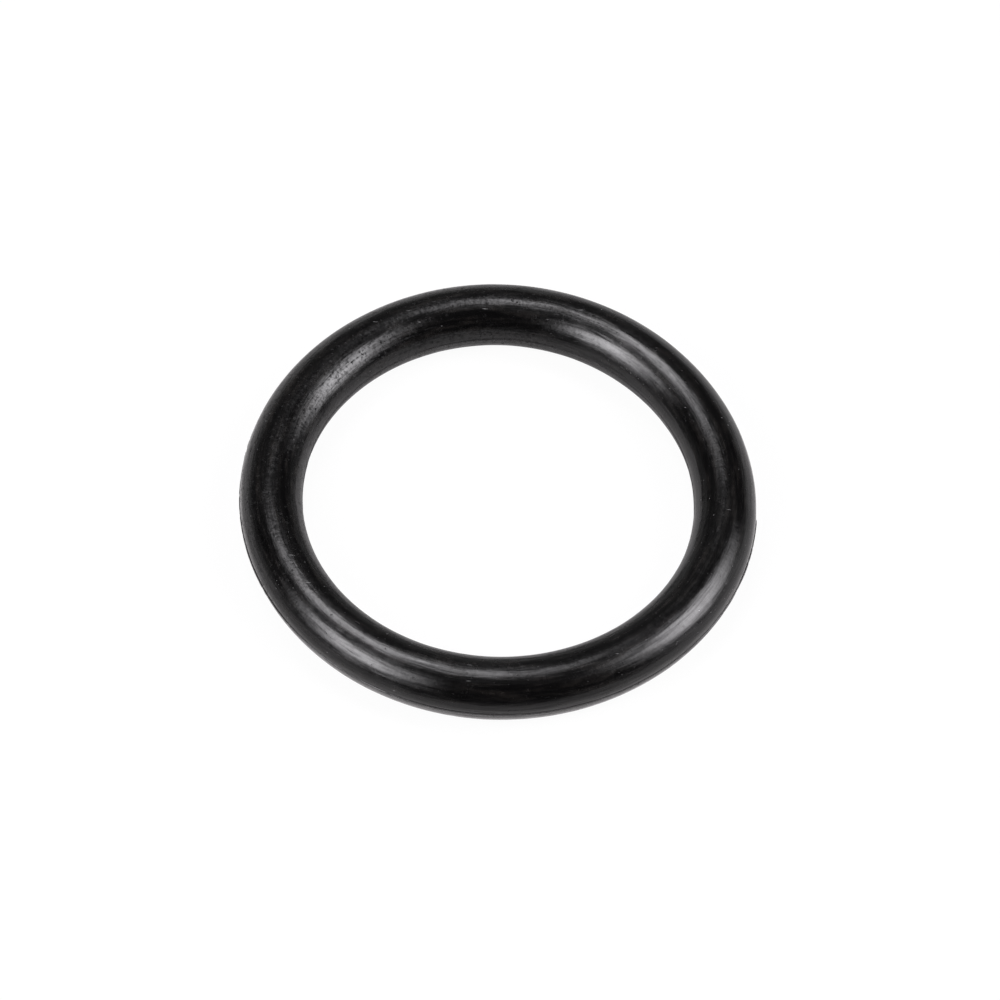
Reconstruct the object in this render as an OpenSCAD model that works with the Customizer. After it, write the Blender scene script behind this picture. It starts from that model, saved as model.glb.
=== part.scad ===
// Rubber o-ring: one moulded ring of round cord section, for a metric gland.
// It lies flat, with its centre at the origin and the mould's parting plane on z = 0.
// Dimensions are in millimetres.

/* [Ring] */
// Inner diameter, across the round section
inner_d = 19.2; // [4:0.1:150]
// Diameter of the round cord section
cord_d = 3.0; // [1:0.05:8]

/* [Parting line] */
// How far the trimmed flash stands proud of the round section
flash_h = 0.04; // [0.01:0.01:0.12]
// Width of the flat land that trimming leaves on the flash, along the ring's axis
flash_land_w = 0.1; // [0.02:0.01:0.2]
// How much wider the flash is at its root than at its land
flash_flare = 0.06; // [0.01:0.01:0.1]

/* [Hidden] */

ring_facets = 360;
cord_facets = 120;

cord_r = cord_d / 2;
// Radius of the circle that the cord's centre runs on
ring_r = inner_d / 2 + cord_r;

// Round section of the cord, centred on the parting plane.
module cord_section() {
    circle(r = cord_r, $fn = cord_facets);
}

// Trimmed flash, right across the section: it tapers on both sides from its root to its land.
module flash_section() {
    land_x = cord_r + flash_h;
    // The taper starts as deep inside the cord as it ends outside it.
    root_x = cord_r - flash_h;
    land_z = flash_land_w / 2;
    root_z = land_z + flash_flare;
    polygon([
        [-land_x, -land_z],
        [-root_x, -root_z],
        [root_x, -root_z],
        [land_x, -land_z],
        [land_x, land_z],
        [root_x, root_z],
        [-root_x, root_z],
        [-land_x, land_z]
    ]);
}

// The whole ring, moulded in one piece.
module o_ring() {
    color([0.03, 0.03, 0.032])
        rotate_extrude($fn = ring_facets)
            translate([ring_r, 0]) {
                cord_section();
                flash_section();
            }
}

o_ring();
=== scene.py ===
import math

import bpy
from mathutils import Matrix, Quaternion, Vector


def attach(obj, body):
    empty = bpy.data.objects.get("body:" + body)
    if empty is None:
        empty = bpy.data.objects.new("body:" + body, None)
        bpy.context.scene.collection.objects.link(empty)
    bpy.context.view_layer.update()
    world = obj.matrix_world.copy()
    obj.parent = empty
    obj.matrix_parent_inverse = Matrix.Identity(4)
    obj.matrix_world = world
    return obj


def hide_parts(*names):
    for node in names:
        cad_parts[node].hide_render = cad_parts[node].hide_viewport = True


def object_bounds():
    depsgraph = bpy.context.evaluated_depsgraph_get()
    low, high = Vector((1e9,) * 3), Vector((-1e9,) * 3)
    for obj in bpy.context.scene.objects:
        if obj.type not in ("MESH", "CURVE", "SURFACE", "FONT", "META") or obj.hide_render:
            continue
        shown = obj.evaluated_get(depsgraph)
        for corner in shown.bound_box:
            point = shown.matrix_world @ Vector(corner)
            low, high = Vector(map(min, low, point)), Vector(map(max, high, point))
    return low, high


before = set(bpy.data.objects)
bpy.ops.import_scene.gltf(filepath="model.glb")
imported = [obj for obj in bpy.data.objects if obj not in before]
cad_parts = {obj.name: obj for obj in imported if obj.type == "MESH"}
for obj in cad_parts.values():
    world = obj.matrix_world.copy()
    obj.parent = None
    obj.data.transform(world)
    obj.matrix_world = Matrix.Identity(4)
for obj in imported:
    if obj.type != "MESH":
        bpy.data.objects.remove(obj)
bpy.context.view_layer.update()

MM = 0.001
FULL_TURN = 2 * math.pi

# Sizes of the ring, as in the CAD source

RING_RADIUS = 11.1 * MM  # the circle that the cord's centre runs on
CORD_RADIUS = 1.5 * MM
FLASH_HEIGHT = 0.04 * MM

# The flash as it was cut: as wide at its foot as the source's, with steeper sides and a wider land

FLASH_LAND = 0.13 * MM
FLASH_FLARE = 0.03 * MM

# What a real ring adds

SEAM_STEP = 0.015 * MM  # how far the ring steps in at the seam
PARTING_DROP = 0.06 * MM  # how far under the middle of the cord the moulds met
MOULD_MISMATCH = 0.012 * MM  # how far to one side the lower mould sat
MISMATCH_SIDE = math.radians(-60)  # which side that was
CORD_UNEVENNESS = 0.004 * MM
LOW_FLASH_SIDE = math.radians(285)  # the middle of the stretch where the flash was cut lower
MOTTLED_SIDE = math.radians(143)  # where round the ring the skin is most pitted

# How a soft ring lies a little out of round: number of lobes, height, and where the first crest is.
OUT_OF_ROUND = (
    (2, 0.005 * MM, math.radians(-150)),
    (3, 0.035 * MM, math.radians(-75)),
    (4, 0.017 * MM, math.radians(-30)),
)

# How the cord is fuller all round, and in some places than in others, in the same form.
FULLNESS = (
    (0, 0.018 * MM, 0.0),
    (1, 0.004 * MM, math.radians(180)),
    (2, 0.005 * MM, math.radians(-15)),
)

# Steps of the mesh

STEPS_ROUND = 880
STEPS_ACROSS = 104
GATHER = 0.43  # how far the steps across are drawn together at the parting line, in radians
WELD_DISTANCE = 0.001 * MM


class Wiring:
    """Adds nodes to one tree and joins them up."""

    def __init__(self, tree):
        self.tree = tree
        self.count = 0

    def node(self, kind, feeds=None, **settings):
        """A new node with these settings, and these sockets, by name or number, fed with values or links."""
        made = self.tree.nodes.new(kind)
        made.location = (200 * (self.count % 14), -260 * (self.count // 14))
        self.count += 1
        for name, value in settings.items():
            setattr(made, name, value)
        for name, value in (feeds or {}).items():
            self.feed(self.open_socket(made, name), value)
        return made

    @staticmethod
    def open_socket(node, name):
        """The node's input of that number, or of that name where it is in use."""
        if isinstance(name, int):
            return node.inputs[name]
        return next(socket for socket in node.inputs if socket.name == name and socket.enabled)

    def feed(self, socket, value):
        if isinstance(value, bpy.types.NodeSocket):
            self.tree.links.new(value, socket)
        else:
            socket.default_value = value

    def maths(self, operation, *terms, clamp=False):
        made = self.node("ShaderNodeMath", operation=operation, use_clamp=clamp)
        for socket, value in zip(made.inputs, terms):
            self.feed(socket, value)
        return made.outputs[0]

    def product(self, *terms):
        made = terms[0]
        for term in terms[1:]:
            made = self.maths("MULTIPLY", made, term)
        return made

    def total(self, *terms, clamp=False):
        """The sum of the terms, held between 0 and 1 at the last step if it is clamped."""
        added = terms[0]
        for reached, term in enumerate(terms[1:], 2):
            added = self.maths("ADD", added, term, clamp=clamp and reached == len(terms))
        return added

    def ramp(self, value, low, high, to_low=0.0, to_high=1.0, smooth=True):
        """Value runs from to_low at low to to_high at high, and is held beyond both."""
        made = self.node(
            "ShaderNodeMapRange",
            {"Value": value, "From Min": low, "From Max": high, "To Min": to_low, "To Max": to_high},
            interpolation_type="SMOOTHSTEP" if smooth else "LINEAR",
        )
        return made.outputs[0]

    def blended(self, share, first, second):
        """The first colour, with that share of the second in it."""
        feeds = {"Factor": share, "A": first, "B": second}
        mix = self.node("ShaderNodeMix", feeds, data_type="RGBA")
        return next(socket for socket in mix.outputs if socket.enabled)

    def parts(self, vector):
        return self.node("ShaderNodeSeparateXYZ", {0: vector}).outputs

    def vector(self, x, y, z):
        return self.node("ShaderNodeCombineXYZ", {"X": x, "Y": y, "Z": z}).outputs[0]

    def scaled(self, vector, factor):
        return self.node("ShaderNodeVectorMath", {0: vector, "Scale": factor}, operation="SCALE").outputs[0]

    def offset(self, vector, by):
        return self.node("ShaderNodeVectorMath", {0: vector, 1: by}, operation="ADD").outputs[0]

    def dot(self, vector, other):
        made = self.node("ShaderNodeVectorMath", {0: vector, 1: other}, operation="DOT_PRODUCT")
        return made.outputs["Value"]

    def length(self, vector):
        return self.node("ShaderNodeVectorMath", {0: vector}, operation="LENGTH").outputs["Value"]


# Form of the ring

class RingForm(Wiring):
    """The moulded ring: a grid rolled up round the cord and round the ring, with its trimmed flash."""

    def __init__(self, tree):
        super().__init__(tree)
        self.given = self.node("NodeGroupInput").outputs
        self.grid = self.node("GeometryNodeMeshGrid", {
            "Size X": 1.0,
            "Size Y": 1.0,
            "Vertices X": self.maths("ADD", self.given["Steps round"], 1),
            "Vertices Y": self.maths("ADD", self.given["Steps across"], 1),
        })
        self.rolled = self.parts(self.grid.outputs["UV Map"])
        self.round_ring = self.maths("MULTIPLY", self.rolled[0], FULL_TURN)
        self.round_cord = self.gathered(self.maths("MULTIPLY", self.rolled[1], FULL_TURN))
        self.cos_ring = self.maths("COSINE", self.round_ring)
        self.sin_ring = self.maths("SINE", self.round_ring)
        self.cos_cord = self.maths("COSINE", self.round_cord)
        self.sin_cord = self.maths("SINE", self.round_cord)
        self.height = self.product(self.given["Cord radius"], self.sin_cord)
        self.from_seam = self.maths("DEGREES", self.maths("ARCTAN2", self.sin_ring, self.cos_ring))
        self.plain = self.plain_torus()

    def gathered(self, even):
        """The angle round the cord, from even steps drawn together at the parting line."""
        wave = self.maths("SINE", self.maths("MULTIPLY", even, 2.0))
        return self.maths("SUBTRACT", even, self.maths("MULTIPLY", wave, GATHER))

    def plain_torus(self):
        """The place on a plain torus, in millimetres, which the noise patterns are read on."""
        reach = self.total(self.given["Ring radius"], self.product(self.given["Cord radius"], self.cos_cord))
        x = self.product(reach, self.cos_ring)
        y = self.product(reach, self.sin_ring)
        return self.scaled(self.vector(x, y, self.height), 1 / MM)

    def noise(self, scale, detail, roughness, shift=None):
        """Noise read on the plain torus, moved by shift to another stretch of it."""
        at = self.offset(self.plain, shift) if shift else self.plain
        return self.node("ShaderNodeTexNoise", {
            "Vector": at, "Scale": scale, "Detail": detail, "Roughness": roughness,
        }).outputs[0]

    def towards(self, side):
        """1 at that angle round the ring, and -1 opposite."""
        return self.maths("COSINE", self.maths("SUBTRACT", self.round_ring, side))

    def waved(self, base, waves):
        """The base, with these waves round the ring added to it."""
        for lobes, crest, turn in waves:
            along = self.maths("SUBTRACT", self.maths("MULTIPLY", self.round_ring, float(lobes)), turn)
            base = self.total(base, self.product(self.maths("COSINE", along), crest))
        return base

    def seam_step(self):
        """The ring grows slowly outwards up to the seam, at 0 degrees, and steps back in there."""
        before_seam = self.ramp(self.from_seam, -3.2, 0.8, 1.0, 0.0)
        grows = self.maths("POWER", self.ramp(self.from_seam, -47.0, -2.5, smooth=False), 1.5)
        return self.product(before_seam, grows, self.given["Seam step"])

    def centre(self):
        """How far out the middle of the cord runs; the lower half sits a hair to one side of the upper."""
        lower_half = self.ramp(self.height, -0.09 * MM, -0.03 * MM, 1.0, 0.0)
        aside = self.product(lower_half, self.towards(MISMATCH_SIDE), self.given["Mould mismatch"])
        return self.total(self.waved(self.given["Ring radius"], OUT_OF_ROUND), self.seam_step(), aside)

    def land(self):
        """The flash's own section: 1 on its land, down to 0 at its foot."""
        from_line = self.maths("ABSOLUTE", self.total(self.height, self.given["Parting drop"]))
        foot = self.total(self.given["Flash land"], self.given["Flash flare"])
        half_foot = self.maths("MULTIPLY", foot, 0.5)
        half_flare = self.maths("MULTIPLY", self.given["Flash flare"], 0.5)
        return self.maths("DIVIDE", self.maths("SUBTRACT", half_foot, from_line), half_flare, clamp=True)

    def ragged(self):
        """How the trimming tore the flash in short bites, and cut deeper in long waves."""
        torn = self.noise(scale=2.6, detail=3.0, roughness=0.65)
        long_wave = self.noise(scale=0.33, detail=1.0, roughness=0.5, shift=(31.0, 7.0, 3.0))
        return self.product(
            self.ramp(torn, 0.32, 0.5, 0.5, 1.0),
            self.ramp(long_wave, 0.36, 0.52, 0.6, 1.0),
        )

    def clean_cut(self):
        """1 where the outside was cut off clean, for some 30 degrees on from the seam."""
        return self.product(
            self.ramp(self.from_seam, -2.6, -1.9),
            self.ramp(self.from_seam, 22.0, 40.0, 1.0, 0.0),
            self.ramp(self.cos_cord, 0.0, 0.1),
        )

    def left_flash(self):
        """What the trimming left of the flash: at most half of it on the inside, and half again on the low
        stretch."""
        inside_lower = self.ramp(self.cos_cord, -0.1, 0.1, 0.5, 1.0)
        low_stretch = self.ramp(self.towards(LOW_FLASH_SIDE), 0.75, 0.96, 1.0, 0.5)
        uncut = self.maths("SUBTRACT", 1.0, self.clean_cut())
        return self.product(self.land(), self.ragged(), inside_lower, low_stretch, uncut)

    def section(self, left):
        """How far the skin is from the middle of the cord, which is not quite even itself."""
        uneven = self.noise(scale=0.55, detail=2.0, roughness=0.45)
        fuller = self.ramp(uneven, 0.25, 0.75, -1.0, 1.0, smooth=False)
        swell = self.product(fuller, self.given["Cord unevenness"])
        flash = self.product(left, self.given["Flash height"])
        return self.total(self.waved(self.given["Cord radius"], FULLNESS), flash, swell)

    def place(self, section):
        reach = self.total(self.centre(), self.product(section, self.cos_cord))
        return self.vector(
            self.product(reach, self.cos_ring),
            self.product(reach, self.sin_ring),
            self.product(section, self.sin_cord),
        )

    def marked_grid(self, left):
        """The grid, with what the rubber's patterns are read on: its unrolled place, its distances along the
        ring and round the cord in millimetres, and the cut edge, which is coloured paler, partly as a
        painted highlight along the flash."""
        ring_mm, cord_mm = RING_RADIUS / MM, CORD_RADIUS / MM
        unrolled = self.vector(self.rolled[0], self.maths("DIVIDE", self.round_cord, FULL_TURN), 0.0)
        flow = self.vector(
            self.maths("MULTIPLY", self.cos_ring, ring_mm),
            self.maths("MULTIPLY", self.sin_ring, ring_mm),
            self.maths("MULTIPLY", self.cos_cord, cord_mm),
        )
        marked = self.grid.outputs["Mesh"]
        for name, kind, domain, value in (
            ("UVMap", "FLOAT2", "CORNER", unrolled),
            ("flow", "FLOAT_VECTOR", "POINT", flow),
            ("flow_up", "FLOAT", "POINT", self.maths("MULTIPLY", self.sin_cord, cord_mm)),
            ("cut_edge_and_painted_highlight", "FLOAT", "POINT", left),
        ):
            feeds = {"Geometry": marked, "Name": name, "Value": value}
            store = self.node("GeometryNodeStoreNamedAttribute", feeds, data_type=kind, domain=domain)
            marked = store.outputs[0]
        return marked


def ring_inputs(tree):
    """Gives the ring's tree its named sizes and its one output."""
    for name, kind, value in (
        ("Ring radius", "NodeSocketFloat", RING_RADIUS),
        ("Cord radius", "NodeSocketFloat", CORD_RADIUS),
        ("Flash height", "NodeSocketFloat", FLASH_HEIGHT),
        ("Flash land", "NodeSocketFloat", FLASH_LAND),
        ("Flash flare", "NodeSocketFloat", FLASH_FLARE),
        ("Seam step", "NodeSocketFloat", SEAM_STEP),
        ("Parting drop", "NodeSocketFloat", PARTING_DROP),
        ("Mould mismatch", "NodeSocketFloat", MOULD_MISMATCH),
        ("Cord unevenness", "NodeSocketFloat", CORD_UNEVENNESS),
        ("Steps round", "NodeSocketInt", STEPS_ROUND),
        ("Steps across", "NodeSocketInt", STEPS_ACROSS),
        ("Rubber", "NodeSocketMaterial", None),
    ):
        socket = tree.interface.new_socket(name=name, in_out="INPUT", socket_type=kind)
        if value is not None:
            socket.default_value = value
    tree.interface.new_socket(name="Geometry", in_out="OUTPUT", socket_type="NodeSocketGeometry")


def ring_tree():
    """The tree that makes the ring: the marked grid, rolled up, closed and dressed in its rubber."""
    tree = bpy.data.node_groups.new("Moulded ring", "GeometryNodeTree")
    ring_inputs(tree)
    form = RingForm(tree)
    left = form.left_flash()
    feeds = {"Geometry": form.marked_grid(left), "Position": form.place(form.section(left))}
    placed = form.node("GeometryNodeSetPosition", feeds)
    feeds = {"Geometry": placed.outputs[0], "Distance": WELD_DISTANCE}
    closed = form.node("GeometryNodeMergeByDistance", feeds)
    smooth = form.node("GeometryNodeSetShadeSmooth", {"Geometry": closed.outputs[0], "Shade Smooth": True})
    real = form.node("GeometryNodeRealizeInstances", {"Geometry": smooth.outputs[0]})
    feeds = {"Geometry": real.outputs[0], "Material": form.given["Rubber"]}
    dressed = form.node("GeometryNodeSetMaterial", feeds)
    form.node("NodeGroupOutput", {"Geometry": dressed.outputs[0]})
    return tree


def plain_mesh(name, tree, values):
    """One object with the tree's result as its own mesh, at the origin, with no modifier left."""
    holder = bpy.data.objects.new(name, bpy.data.meshes.new(name + "_start"))
    bpy.context.scene.collection.objects.link(holder)
    form = holder.modifiers.new("Form", "NODES")
    form.node_group = tree
    inputs = [item for item in tree.interface.items_tree if item.in_out == "INPUT"]
    sockets = {item.name: item.identifier for item in inputs}
    for label, value in values.items():
        form[sockets[label]] = value
    ready = bpy.context.evaluated_depsgraph_get()
    formed = holder.evaluated_get(ready)
    mesh = bpy.data.meshes.new_from_object(formed, preserve_all_data_layers=True, depsgraph=ready)
    start = holder.data
    holder.modifiers.remove(form)
    holder.data = mesh
    mesh.name = name
    bpy.data.meshes.remove(start)
    return holder


# Rubber

class Patterns(Wiring):
    """The kinds of pattern that the rubber's skin is made of. Shift gives each its own stretch of noise."""

    def __init__(self, tree):
        super().__init__(tree)
        self.place = self.scaled(self.node("ShaderNodeTexCoord").outputs["Object"], 1 / MM)
        self.flow = self.node("ShaderNodeAttribute", attribute_name="flow").outputs["Vector"]
        self.flow_up = self.node("ShaderNodeAttribute", attribute_name="flow_up").outputs["Fac"]
        self.along_x, self.along_y, self.in_and_out = self.parts(self.flow)

    def signed(self, value):
        """A noise value of 0.3 to 0.7, as most are, as -1 to 1."""
        return self.ramp(value, 0.3, 0.7, -1.0, 1.0, smooth=False)

    def towards(self, side):
        """1 on the side of the ring at that angle, and -1 on the other."""
        way = (math.cos(side) * MM / RING_RADIUS, math.sin(side) * MM / RING_RADIUS, 0.0)
        return self.dot(self.flow, way)

    def on_cord(self, along, across, shift):
        """A place on the cord's surface, in four axes, with so many cells to the millimetre each way."""
        vector = self.vector(
            self.maths("MULTIPLY", self.along_x, along),
            self.maths("MULTIPLY", self.along_y, along),
            self.maths("MULTIPLY", self.in_and_out, across),
        )
        fourth = self.maths("MULTIPLY", self.flow_up, across)
        return self.offset(vector, (shift, shift * 0.7, shift * 1.3)), fourth

    def streaks(self, along, across, detail, roughness, shift):
        """Noise drawn out along the cord."""
        vector, fourth = self.on_cord(along, across, shift)
        return self.node("ShaderNodeTexNoise", {
            "Vector": vector, "W": fourth, "Scale": 1.0, "Detail": detail, "Roughness": roughness,
        }, noise_dimensions="4D").outputs[0]

    def grain(self, scale, detail, roughness, shift):
        """Noise of the same size every way."""
        return self.node("ShaderNodeTexNoise", {
            "Vector": self.offset(self.place, (shift, shift * 1.9, shift * 0.4)),
            "Scale": scale, "Detail": detail, "Roughness": roughness,
        }).outputs[0]

    def spots(self, cells, density, small, large):
        """1 in the middle of a spot and 0 outside, in that share of the cells, and a draw that is one number
        to a spot. Small and large are the range of its radius, in cells."""
        drawn = self.node("ShaderNodeSeparateColor", {0: cells.outputs["Color"]}).outputs
        here = self.maths("LESS_THAN", drawn[0], density)
        radius = self.ramp(drawn[1], 0.0, 1.0, small, large, smooth=False)
        spot = self.ramp(self.maths("DIVIDE", cells.outputs["Distance"], radius), 1.0, 0.35)
        return self.product(here, spot), drawn[2]

    def round_spots(self, scale, density, small, large, shift, ragged=0.0):
        """Spots with radii of small to large millimetres, pushed out of round by ragged millimetres."""
        at = self.offset(self.place, (shift, shift * 0.6, shift * 1.7))
        if ragged:
            push = self.node("ShaderNodeTexNoise", {"Vector": at, "Scale": 9.0, "Detail": 1.0})
            pushed = {0: push.outputs["Color"], 1: (ragged,) * 3, 2: at}
            at = self.node("ShaderNodeVectorMath", pushed, operation="MULTIPLY_ADD").outputs[0]
        cells = self.node("ShaderNodeTexVoronoi", {"Vector": at, "Scale": scale, "Randomness": 1.0})
        return self.spots(cells, density, small * scale, large * scale)

    def long_spots(self, along, across, density, small, large, shift):
        """Spots drawn out along the cord, with radii of small to large cells."""
        vector, fourth = self.on_cord(along, across, shift)
        cells = self.node("ShaderNodeTexVoronoi", {
            "Vector": vector, "W": fourth, "Scale": 1.0, "Randomness": 1.0,
        }, voronoi_dimensions="4D")
        return self.spots(cells, density, small, large)[0]

    def fibres(self, turned, shift):
        """Short fine fibres that lie across the ring, all about one way."""
        lie = self.node("ShaderNodeMapping", {
            "Vector": self.place,
            "Location": (shift, shift, shift),
            "Rotation": (0.3, 0.2, math.radians(turned)),
            "Scale": (1.3, 11.0, 11.0),
        }).outputs[0]
        cells = self.node("ShaderNodeTexVoronoi", {"Vector": lie, "Scale": 1.0, "Randomness": 1.0})
        return self.spots(cells, density=0.012, small=0.2, large=0.32)[0]


class RubberSkin(Patterns):
    """What shows in the moulded skin, and the looks that are mixed from it."""

    def __init__(self, tree):
        super().__init__(tree)
        self.cut_edge_and_painted_highlight = self.node("ShaderNodeAttribute", attribute_name="cut_edge_and_painted_highlight").outputs["Fac"]
        self.flow_lines = self.streaks(along=0.6, across=5.0, detail=2.0, roughness=0.5, shift=5.0)
        self.flow_bands = self.streaks(along=0.15, across=2.2, detail=2.0, roughness=0.5, shift=12.0)
        self.mottle = self.grain(scale=3.4, detail=1.5, roughness=0.55, shift=3.0)
        self.worn = self.worn_side()
        self.grit = self.mould_grit()
        self.marks = self.open_marks()
        self.score = self.scores()
        self.drawn_lines = self.dull_lines()
        self.dust, self.dust_draw = self.round_spots(
            scale=1.9, density=0.08, small=0.012, large=0.04, shift=8.0,
        )

    def worn_side(self):
        """How worn the skin is: most on one side of the ring, least opposite."""
        patch = self.grain(scale=0.45, detail=2.0, roughness=0.5, shift=17.0)
        side = self.towards(MOTTLED_SIDE)
        return self.ramp(self.total(side, self.product(self.signed(patch), 0.3)), -0.6, 1.1)

    def mould_grit(self):
        """Grit of the mould's skin, which shows most on the worn side."""
        gritty = self.grain(scale=6.5, detail=2.0, roughness=0.6, shift=29.0)
        return self.product(self.ramp(gritty, 0.45, 0.65), self.ramp(self.worn, 0.2, 0.8, 0.15, 1.0))

    def open_marks(self):
        """Open pits in patches on the worn side, and fine pores and long nicks all round."""
        patch = self.grain(scale=1.1, detail=2.0, roughness=0.5, shift=41.0)
        in_patches = self.ramp(self.total(self.worn, self.product(self.signed(patch), 0.2)), 0.35, 0.75)
        pits, _ = self.round_spots(scale=4.0, density=0.85, small=0.04, large=0.11, shift=2.0, ragged=0.2)
        pits = self.product(pits, in_patches)
        pores, _ = self.round_spots(scale=4.5, density=0.4, small=0.03, large=0.075, shift=13.0, ragged=0.14)
        nicks = self.long_spots(along=1.2, across=5.5, density=0.12, small=0.14, large=0.34, shift=27.0)
        holes = self.maths("MAXIMUM", pits, self.product(pores, 0.6))
        return self.maths("MAXIMUM", holes, self.product(nicks, 0.8))

    def scores(self):
        """Scores that run along the cord in places, where the ring was drawn off the mould."""
        hairs = self.streaks(along=0.25, across=17.0, detail=2.0, roughness=0.6, shift=21.0)
        in_places = self.streaks(along=0.12, across=1.3, detail=1.0, roughness=0.5, shift=33.0)
        line = self.ramp(self.maths("ABSOLUTE", self.maths("SUBTRACT", hairs, 0.66)), 0.012, 0.002)
        return self.product(line, self.ramp(in_places, 0.52, 0.6))

    def dull_lines(self):
        """Fine dull lines that were drawn along the cord, in bands."""
        drawn = self.streaks(along=0.35, across=6.5, detail=3.0, roughness=0.65, shift=47.0)
        return self.product(self.ramp(drawn, 0.46, 0.62), self.ramp(self.flow_bands, 0.36, 0.56))

    def colour(self):
        """Near black, with faint grey flow in it, paler where it was cut, as cut rubber is and partly as a
        painted highlight along the flash, and with pale lint and dust.
        """
        in_flow = self.ramp(self.flow_lines, 0.45, 0.75)
        bloom = self.product(in_flow, self.ramp(self.mottle, 0.3, 0.7, 0.4, 1.0))
        lint = self.maths("MAXIMUM", self.fibres(turned=35, shift=3.0), self.fibres(turned=-50, shift=11.0))
        dust = self.product(self.dust, self.ramp(self.dust_draw, 0.0, 1.0, 0.2, 1.0))
        skin = self.blended(bloom, (0.0013, 0.0012, 0.0013, 1), (0.0072, 0.0062, 0.0056, 1))
        # Cut rubber is paler. Here the pale land is also partly a painted highlight, standing in for the
        # light line along the flash's edge.
        cut = self.blended(self.cut_edge_and_painted_highlight, skin, (0.03, 0.029, 0.029, 1))
        scored = self.blended(self.product(self.score, 0.08), cut, (0.05, 0.05, 0.052, 1))
        linty = self.blended(self.product(lint, 0.6), scored, (0.2, 0.2, 0.2, 1))
        return self.blended(dust, linty, (0.26, 0.27, 0.28, 1))

    def roughness(self):
        """Satin, and rougher at marks, on the cut edge and on dust."""
        return self.total(
            0.2,
            self.product(self.signed(self.flow_bands), 0.04),
            self.product(self.signed(self.mottle), 0.03),
            self.product(self.signed(self.flow_lines), 0.05),
            self.product(self.grit, 0.04),
            self.product(self.drawn_lines, 0.03),
            self.product(self.marks, 0.25),
            self.product(self.cut_edge_and_painted_highlight, 0.08),
            self.product(self.dust, 0.5),
            clamp=True,
        )

    def gloss(self):
        """The tint of the highlights: white on sound skin, and darker on marks, grit and dull lines."""
        dulled = self.total(
            self.product(self.marks, 0.31),
            self.product(self.grit, 0.46),
            self.product(self.drawn_lines, 0.46),
            clamp=True,
        )
        return self.blended(dulled, (1.0, 1.0, 1.0, 1), (0.0, 0.0, 0.0, 1))

    def relief(self):
        """Flow lines, mottle and grain a few microns high at most, open marks in them, and dust on top."""
        fine = self.grain(scale=8.5, detail=1.0, roughness=0.5, shift=9.0)
        height = self.total(
            self.product(self.signed(self.flow_lines), 0.0034 * MM),
            self.product(self.signed(self.mottle), self.ramp(self.worn, 0.2, 0.9, 0.0006 * MM, 0.001 * MM)),
            self.product(self.signed(fine), 0.0004 * MM),
            self.product(self.marks, -0.0008 * MM),
            self.product(self.score, -0.0008 * MM),
            self.product(self.dust, 0.004 * MM),
        )
        return self.node("ShaderNodeBump", {"Height": height, "Distance": 1.0, "Strength": 1.0}).outputs[0]


def blank_material(name):
    made = bpy.data.materials.new(name)
    made.use_nodes = True
    made.node_tree.nodes.clear()
    return made


def black_rubber():
    """Moulded black rubber: satin, with flow lines along the cord, open pits, dust and a cut line."""
    made = blank_material("Moulded black rubber")
    skin = RubberSkin(made.node_tree)
    # A turned mould leaves lines along the cord too fine to see, which spread its highlights across it.
    surface = skin.node("ShaderNodeBsdfPrincipled", {
        "Base Color": skin.colour(),
        "Roughness": skin.roughness(),
        "Normal": skin.relief(),
        "IOR": 1.5,
        "Anisotropic": 0.7,
        "Anisotropic Rotation": 0.25,
        "Specular Tint": skin.gloss(),
    })
    skin.node("ShaderNodeOutputMaterial", {"Surface": surface.outputs[0]})
    return made


# Studio

def paper_light(wires, mirrored):
    """The paper's shade under the lamps, and the light that it gives out itself, which makes it white to the
    camera. In reflections it is greyer and carries painted light and shade: a painted glow that is brightest
    close by the ring and dimmer inside it, and painted shade in its colour and glow where it runs out from
    under the lamps at the front."""
    x, y, _ = wires.parts(wires.node("ShaderNodeTexCoord").outputs["Object"])
    # Painted shade: in reflections the paper darkens towards the front, in its colour and its glow, as if it
    # ran out from under the lamps.
    painted_lamplight = wires.ramp(y, -34 * MM, -12 * MM, 0.15, 1.0)
    out_from_middle = wires.length(wires.vector(x, y, 0.0))
    # Painted glow in reflections: brightest just outside the ring, dimmer inside it, and fading further out.
    painted_glow_by_the_ring = wires.maths(
        "MINIMUM",
        wires.ramp(out_from_middle, 11 * MM, 12 * MM, 0.37, 0.97),
        wires.ramp(out_from_middle, 12.8 * MM, 15.8 * MM, 0.97, 0.4),
    )
    shade = wires.ramp(mirrored, 0.0, 1.0, 0.05, wires.product(painted_lamplight, 0.2))
    strength = wires.ramp(mirrored, 0.0, 1.0, 0.94, wires.product(painted_lamplight, painted_glow_by_the_ring))
    return shade, strength


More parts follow.
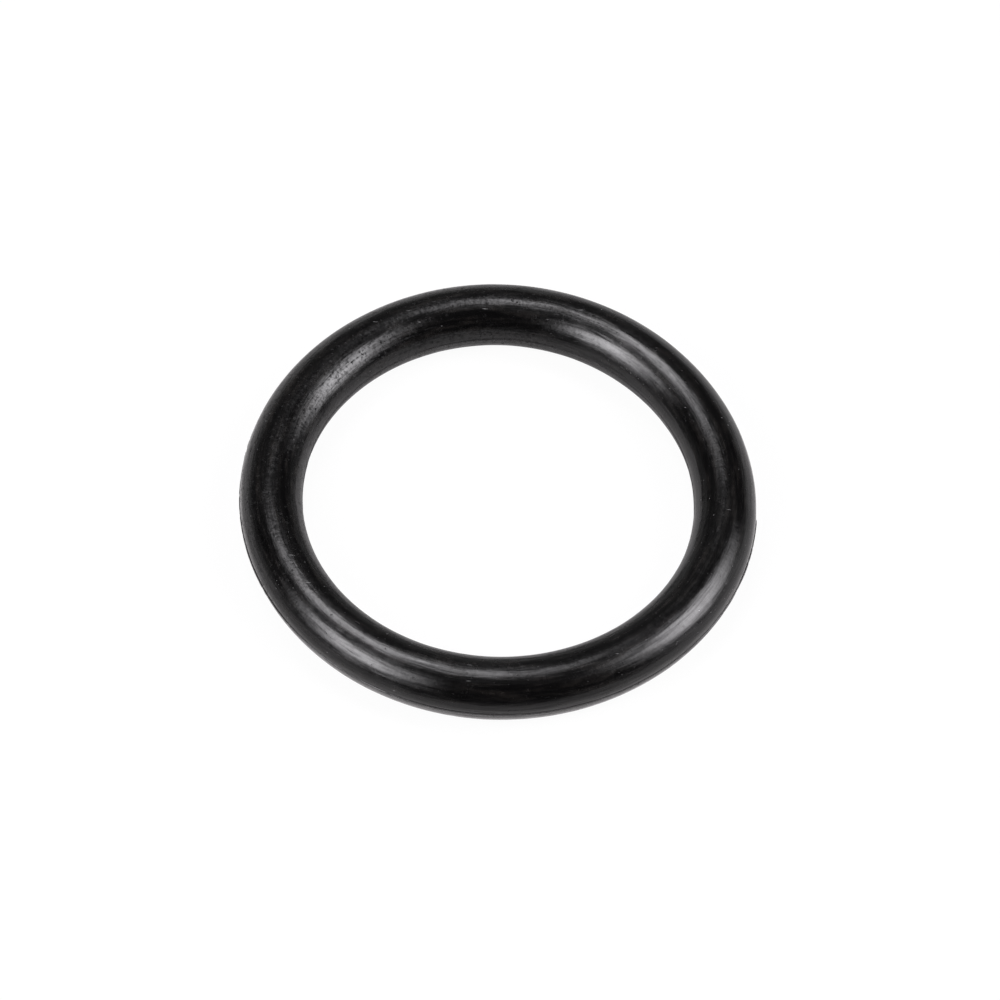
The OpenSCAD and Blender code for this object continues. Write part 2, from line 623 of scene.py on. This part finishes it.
def pale_paper():
    """Studio paper: white to the camera, though it takes the ring's soft shadow, and clear from below."""
    made = blank_material("White studio paper")
    wires = Wiring(made.node_tree)
    seen = wires.node("ShaderNodeLightPath").outputs
    mirrored = wires.maths("MAXIMUM", seen["Is Glossy Ray"], seen["Is Transmission Ray"])
    direct = wires.maths("ADD", seen["Is Camera Ray"], mirrored, clamp=True)

    shade, strength = paper_light(wires, mirrored)
    tone = wires.blended(mirrored, (1, 1, 1, 1), (1.0, 0.965, 0.975, 1))
    shaded = wires.node("ShaderNodeBsdfDiffuse", {"Color": shade})
    glow = wires.node("ShaderNodeEmission", {"Color": tone, "Strength": strength})
    both = wires.node("ShaderNodeAddShader", {0: shaded.outputs[0], 1: glow.outputs[0]})

    # Light that bounces off it on the way to something else meets plain pale paper.
    lit = wires.node("ShaderNodeBsdfDiffuse", {"Color": (0.8, 0.8, 0.8, 1)})
    paper = wires.node("ShaderNodeMixShader", {0: direct, 1: lit.outputs[0], 2: both.outputs[0]})
    clear = wires.node("ShaderNodeBsdfTransparent")
    under = wires.node("ShaderNodeNewGeometry").outputs["Backfacing"]
    sided = wires.node("ShaderNodeMixShader", {0: under, 1: paper.outputs[0], 2: clear.outputs[0]})
    wires.node("ShaderNodeOutputMaterial", {"Surface": sided.outputs[0]})
    return made


def floor():
    """A round sheet of paper under the ring."""
    reach, steps = 1.2, 96
    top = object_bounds()[0][2]
    turns = [FULL_TURN * step / steps for step in range(steps)]
    corners = [(reach * math.cos(turn), reach * math.sin(turn), top) for turn in turns]
    mesh = bpy.data.meshes.new("studio_floor")
    mesh.from_pydata(corners, [], [list(range(steps))])
    mesh.materials.append(pale_paper())
    made = bpy.data.objects.new("studio_floor", mesh)
    bpy.context.scene.collection.objects.link(made)


def studio_air():
    """The room: white behind the object, and dim on it, palest low down at the back and right overhead."""
    world = bpy.data.worlds.new("Studio air")
    bpy.context.scene.world = world
    world.use_nodes = True
    world.node_tree.nodes.clear()
    wires = Wiring(world.node_tree)
    way = wires.node("ShaderNodeTexCoord").outputs["Generated"]
    _, back, height = wires.parts(way)
    walls = wires.product(
        wires.ramp(height, 0.0, 0.33, 1.0, 0.0),
        wires.total(wires.ramp(back, -0.6, 0.1, 0.0, 0.27), wires.ramp(back, 0.2, 0.9, 0.0, 0.2)),
    )
    ceiling = wires.ramp(height, 0.9, 1.0, 0.03, 0.14)
    behind = wires.ramp(wires.dot(way, (-0.22, 0.75, 0.62)), 0.7, 1.0, 0.0, 0.07)
    light = wires.total(walls, ceiling, behind)
    dim = wires.node("ShaderNodeBackground", {"Color": (1, 1, 1, 1), "Strength": light})
    white = wires.node("ShaderNodeBackground", {"Color": (1, 1, 1, 1), "Strength": 1.0})
    seen = wires.node("ShaderNodeLightPath").outputs["Is Camera Ray"]
    mixed = wires.node("ShaderNodeMixShader", {0: seen, 1: dim.outputs[0], 2: white.outputs[0]})
    wires.node("ShaderNodeOutputWorld", {"Surface": mixed.outputs[0]})


def soft_edges(tree, sides, ends, reach):
    """Light that is brightest in the middle of its panel and fades out towards all four edges."""
    tree.nodes.clear()
    wires = Wiring(tree)
    across, up, _ = wires.parts(wires.node("ShaderNodeNewGeometry").outputs["Parametric"])
    drops = []
    for place, sharpness in ((across, sides), (up, ends)):
        off_middle = wires.maths("ABSOLUTE", wires.maths("SUBTRACT", place, 0.5))
        from_middle = wires.maths("MULTIPLY", off_middle, 2 * reach)
        drops.append(wires.maths("MULTIPLY", wires.maths("POWER", from_middle, sharpness), -0.5))
    bright = wires.maths("EXPONENT", wires.total(*drops))
    glow = wires.node("ShaderNodeEmission", {"Color": (1, 1, 1, 1), "Strength": bright})
    wires.node("ShaderNodeOutputLight", {"Surface": glow.outputs[0]})


def softbox(name, azimuth, elevation, turned, half_across, half_up, radiance, sides=2.0):
    """A lamp that the ring sees as a soft-edged panel. The half widths, in degrees, are where it is still
    six tenths as bright as in its middle. The larger sides is, the more sharply it falls off there."""
    away = 0.45
    reach = 2.4  # half widths from the panel's middle to its edge
    ends = 3.0  # how sharply it falls off to the top and bottom
    turn, rise = math.radians(azimuth), math.radians(elevation)
    towards = Vector((math.cos(turn) * math.cos(rise), math.sin(turn) * math.cos(rise), math.sin(rise)))
    lamp = bpy.data.lights.new(name, "AREA")
    lamp.shape = "RECTANGLE"
    lamp.size = 2 * away * math.tan(math.radians(half_across * reach))
    lamp.size_y = 2 * away * math.tan(math.radians(half_up * reach))
    lamp.energy = radiance * math.pi * lamp.size * lamp.size_y
    lamp.color = (1.0, 0.98, 1.012)  # the greys in the photograph are a touch magenta
    lamp.use_nodes = True
    soft_edges(lamp.node_tree, sides, ends, reach)
    made = bpy.data.objects.new(name, lamp)
    bpy.context.scene.collection.objects.link(made)
    made.location = towards * away
    made.rotation_mode = "QUATERNION"
    facing = (-towards).to_track_quat("-Z", "Y")
    made.rotation_quaternion = facing @ Quaternion((0, 0, 1), math.radians(turned))
    made.visible_camera = False


def lamps():
    """The four softboxes that the ring reflects."""
    softbox(
        "softbox_left_front", azimuth=215.0, elevation=36.0, turned=28,
        half_across=11.3, half_up=13.6, radiance=12.6,
    )
    softbox(
        "softbox_right", azimuth=-1.5, elevation=37.5, turned=-14,
        half_across=11.3, half_up=15.6, radiance=11.0,
    )
    softbox(
        "softbox_overhead", azimuth=121.0, elevation=69.5, turned=47,
        half_across=7.5, half_up=11.0, radiance=6.4, sides=3.0,
    )
    softbox(
        "softbox_behind", azimuth=106.0, elevation=64.5, turned=30,
        half_across=5.6, half_up=5.0, radiance=4.7, sides=3.0,
    )


def camera():
    """The photograph's view: from 55 degrees above, through a long lens, with the camera turned a little."""
    elevation, distance, turned = math.radians(55.21), 0.3687, math.radians(2.91)
    data = bpy.data.cameras.new("camera")
    data.sensor_width = 36.0
    data.lens = 271.3
    data.shift_x, data.shift_y = 0.00187, -0.00122
    data.clip_start, data.clip_end = 0.01, 10.0
    made = bpy.data.objects.new("camera", data)
    bpy.context.scene.collection.objects.link(made)
    made.location = (0, -distance * math.cos(elevation), distance * math.sin(elevation))
    made.rotation_mode = "QUATERNION"
    aimed = (-made.location).to_track_quat("-Z", "Y")
    made.rotation_quaternion = aimed @ Quaternion((0, 0, 1), turned)
    bpy.context.scene.camera = made


# The ring in its studio

ring = plain_mesh("moulded_ring", ring_tree(), {"Rubber": black_rubber()})
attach(ring, "root")
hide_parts("o_ring")

floor()
studio_air()
lamps()
camera()
bpy.context.scene.view_settings.view_transform = "Standard"
